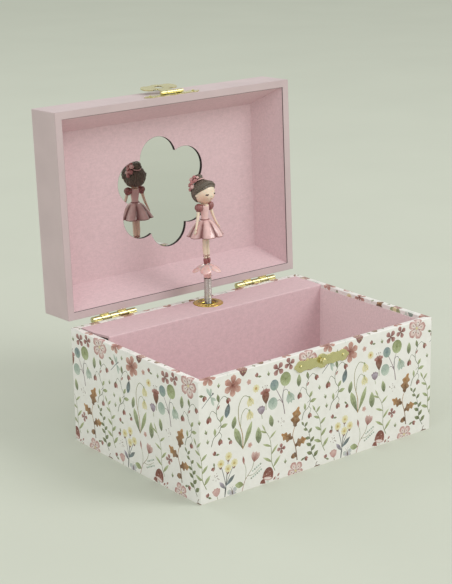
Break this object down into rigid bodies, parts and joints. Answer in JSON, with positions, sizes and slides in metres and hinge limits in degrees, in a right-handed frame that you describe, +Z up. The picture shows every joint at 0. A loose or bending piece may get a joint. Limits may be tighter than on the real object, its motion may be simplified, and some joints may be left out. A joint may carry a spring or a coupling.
{
  "type": "ballerina jewellery box",
  "caption": "Paper-covered jewellery box with a hinged mirror lid, a lined tray, a brass latch and a dancer that turns on a spring post over a musical movement.",
  "frame": {"origin": "centre of the base's underside, on the surface that the box stands on", "axes": "+Z up, +X to the right along the front, +Y towards the back, where the hinges are; the lid stands open at rest"},
  "size_m": [0.156, 0.1436, 0.1799],
  "materials": {
    "printed_paper": "satin printed covering paper",
    "sole_paper": "matt plain paper",
    "board": "raw fibreboard",
    "lid_paper": "satin mauve-pink covering paper",
    "lining_paper": "matt pink lining paper with a fine fibre",
    "mirror": "polished",
    "brass": "bright stamped sheet",
    "spring_steel": "polished spring steel",
    "movement_steel": "turned steel",
    "movement_plate": "plain brass",
    "petal_gloss": "glossy cast resin",
    "plug_plastic": "cast resin",
    "shoe_paint": "painted resin",
    "skin_paint": "painted resin",
    "dress_satin": "pearl painted resin",
    "sleeve_satin": "painted resin",
    "hair_paint": "painted resin",
    "bloom_paint": "painted resin"
  },
  "bodies": {
    "base": {"base_sole_paper": "sole_paper", "base_bottom": "board", "base_front_wall": "board", "base_back_wall": "board", "base_left_wall": "board", "base_right_wall": "board", "base_paper_wrap": "printed_paper", "tray_floor_lining": "lining_paper", "wall_linings": "lining_paper", "movement_cover": "lining_paper", "cover_blocks": "board", "post_eyelet": "brass", "catch_plate": "brass", "catch_stud": "brass", "base_nails": "brass", "hinge_left_base_leaf": "brass", "hinge_right_base_leaf": "brass", "hinge_pins": "brass", "movement_bedplate": "movement_plate", "movement_screws": "movement_steel", "barrel_bridge": "movement_plate", "output_bearing": "movement_plate", "movement_supports": "movement_plate", "comb": "spring_steel"},
    "lid": {"lid_top_panel": "board", "lid_front_wall": "board", "lid_back_wall": "board", "lid_left_wall": "board", "lid_right_wall": "board", "lid_paper_wrap": "lid_paper", "lid_liner_sides": "lining_paper", "lid_liner_panel": "lining_paper", "lid_mirror": "mirror", "hinge_left_lid_leaf": "brass", "hinge_right_lid_leaf": "brass", "latch_plate": "brass", "latch_pin": "brass", "lid_nails": "brass"},
    "latch_flap": {"latch_flap": "brass"},
    "spring_post": {"post_spring": "spring_steel"},
    "dancer": {"figure_plug": "plug_plastic", "figure_petals": "petal_gloss", "figure_shoes": "shoe_paint", "figure_legs": "skin_paint", "figure_skirt": "dress_satin", "figure_bodice": "dress_satin", "figure_sleeves": "sleeve_satin", "figure_arms": "skin_paint", "figure_head": "skin_paint", "figure_hair": "hair_paint", "figure_hair_flowers": "bloom_paint"},
    "output_shaft": {"output_shaft": "movement_steel"},
    "barrel": {"spring_barrel": "movement_plate", "barrel_cap": "movement_plate", "mainspring": "spring_steel"},
    "cylinder": {"pin_cylinder": "movement_plate", "cylinder_arbor": "movement_steel"},
    "governor": {"governor_fan": "movement_plate"},
    "key": {"winding_arbor": "movement_steel", "winding_key": "movement_plate"}
  },
  "joints": [
    {"name": "lid_hinge", "type": "hinge", "parent": "base", "child": "lid", "pos_m": [0, 0.0579, 0.0638], "axis": [1, 0, 0], "range_deg": [0, 92]},
    {"name": "latch_hinge", "type": "hinge", "parent": "lid", "child": "latch_flap", "pos_m": [0, 0.0669, 0.17826], "axis": [1, 0, 0], "range_deg": [-5, 171]},
    {"name": "spring_bend", "type": "hinge", "parent": "base", "child": "spring_post", "pos_m": [0.004, 0.0435, 0.0735], "axis": [1, 0, 0], "range_deg": [0, 99], "deforming": ["post_spring"]},
    {"name": "dance_spin", "type": "hinge", "parent": "spring_post", "child": "dancer", "pos_m": [0.004, 0.0435, 0.078], "axis": [0, 0.0436, 0.999], "continuous": true},
    {"name": "barrel_spin", "type": "hinge", "parent": "base", "child": "barrel", "pos_m": [0.004, 0.04, 0.026], "axis": [0, 1, 0], "continuous": true},
    {"name": "drive_spin", "type": "hinge", "parent": "base", "child": "output_shaft", "pos_m": [0.004, 0.0435, 0.05], "axis": [0, 0, 1], "continuous": true},
    {"name": "cylinder_spin", "type": "hinge", "parent": "base", "child": "cylinder", "pos_m": [-0.02, 0.0435, 0.026], "axis": [1, 0, 0], "continuous": true},
    {"name": "governor_spin", "type": "hinge", "parent": "base", "child": "governor", "pos_m": [-0.05, 0.0435, 0.0356], "axis": [1, 0, 0], "continuous": true},
    {"name": "key_wind", "type": "hinge", "parent": "base", "child": "key", "pos_m": [0.004, 0.05, 0.026], "axis": [0, 1, 0], "continuous": true}
  ],
  "couplings": [
    {"joint": "spring_bend", "follows": "lid_hinge", "ratio": 1.07},
    {"joint": "drive_spin", "follows": "barrel_spin", "ratio": -4.8},
    {"joint": "dance_spin", "follows": "barrel_spin", "ratio": -4.8},
    {"joint": "cylinder_spin", "follows": "barrel_spin", "ratio": 4.8},
    {"joint": "governor_spin", "follows": "barrel_spin", "ratio": -24}
  ]
}
